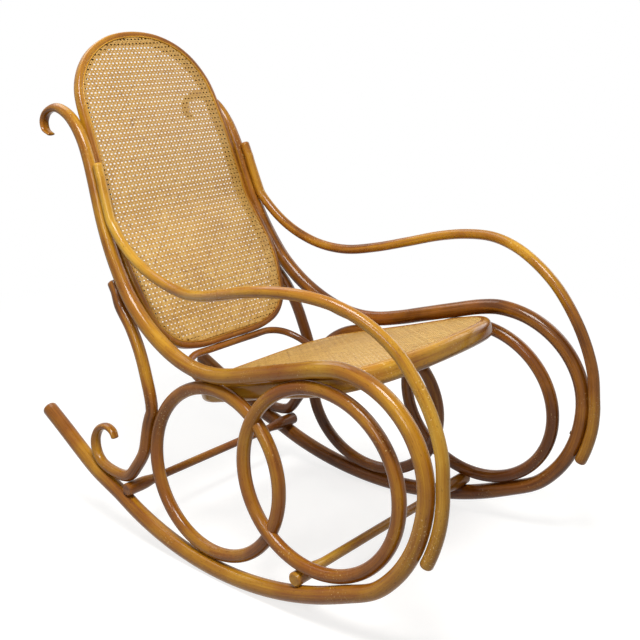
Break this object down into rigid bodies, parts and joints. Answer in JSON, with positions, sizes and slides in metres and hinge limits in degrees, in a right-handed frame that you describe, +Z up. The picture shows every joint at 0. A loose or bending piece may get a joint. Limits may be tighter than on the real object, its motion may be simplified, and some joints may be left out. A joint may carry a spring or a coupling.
{
  "type": "bentwood rocking chair",
  "caption": "Bentwood rocking chair with ringed side frames on curved runners, swept arms, scroll struts and a woven cane seat and back.",
  "frame": {"origin": "on the floor, in the middle of the chair's width and length", "axes": "+X towards the sitter's left, +Y towards the back, +Z up"},
  "size_m": [0.6316, 1.075, 1.0114],
  "materials": {
    "frame_wood": "glossy varnish",
    "woven_cane": "woven cane, satin",
    "cane_spline": "satin",
    "screw_steel": "dull"
  },
  "bodies": {
    "root": {"left_side_member": "frame_wood", "left_arm": "frame_wood", "left_front_ring": "frame_wood", "left_rear_ring": "frame_wood", "left_scroll_strut": "frame_wood", "left_arm_top_screw": "screw_steel", "left_arm_foot_screw": "screw_steel", "left_front_stretcher_screw": "screw_steel", "left_rear_stretcher_screw": "screw_steel", "left_strut_screw": "screw_steel", "left_front_seat_screw": "screw_steel", "left_rear_seat_screw": "screw_steel", "left_lower_back_screw": "screw_steel", "left_upper_back_screw": "screw_steel", "right_side_member": "frame_wood", "right_arm": "frame_wood", "right_front_ring": "frame_wood", "right_rear_ring": "frame_wood", "right_scroll_strut": "frame_wood", "right_arm_top_screw": "screw_steel", "right_arm_foot_screw": "screw_steel", "right_front_stretcher_screw": "screw_steel", "right_rear_stretcher_screw": "screw_steel", "right_strut_screw": "screw_steel", "right_front_seat_screw": "screw_steel", "right_rear_seat_screw": "screw_steel", "right_lower_back_screw": "screw_steel", "right_upper_back_screw": "screw_steel", "front_stretcher": "frame_wood", "rear_stretcher": "frame_wood", "back_brace": "frame_wood", "seat_frame": "frame_wood", "back_frame": "frame_wood", "seat_cane": "woven_cane", "back_cane": "woven_cane", "seat_cane_spline": "cane_spline", "back_cane_spline": "cane_spline"}
  },
  "joints": []
}
